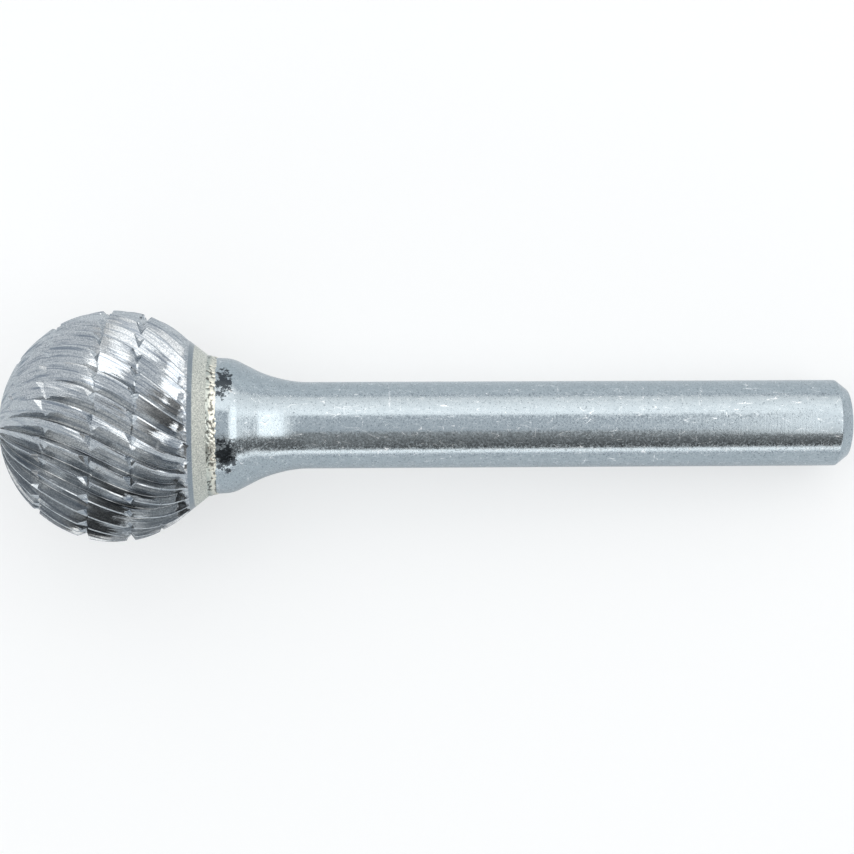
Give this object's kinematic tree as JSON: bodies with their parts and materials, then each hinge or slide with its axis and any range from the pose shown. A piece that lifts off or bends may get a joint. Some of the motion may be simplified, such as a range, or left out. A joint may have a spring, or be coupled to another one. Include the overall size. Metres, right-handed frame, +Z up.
{
  "type": "carbide burr",
  "caption": "Ball-shaped carbide burr with helical teeth and chip breakers, brazed to a flared steel shank, for grinding and deburring metal.",
  "frame": {"origin": "centre of the bounding box at the surface that the burr lies on", "axes": "+X from the ball towards the free end of the shank, which tilts down along X until its end edge touches the surface; +Z up"},
  "size_m": [0.059, 0.016, 0.0159],
  "materials": {
    "carbide": "ground",
    "braze": "rough, beaded",
    "shank_steel": "ground, lightly scuffed"
  },
  "bodies": {
    "root": {"carbide_head": "carbide", "braze_joint": "braze", "steel_shank": "shank_steel"}
  },
  "joints": []
}
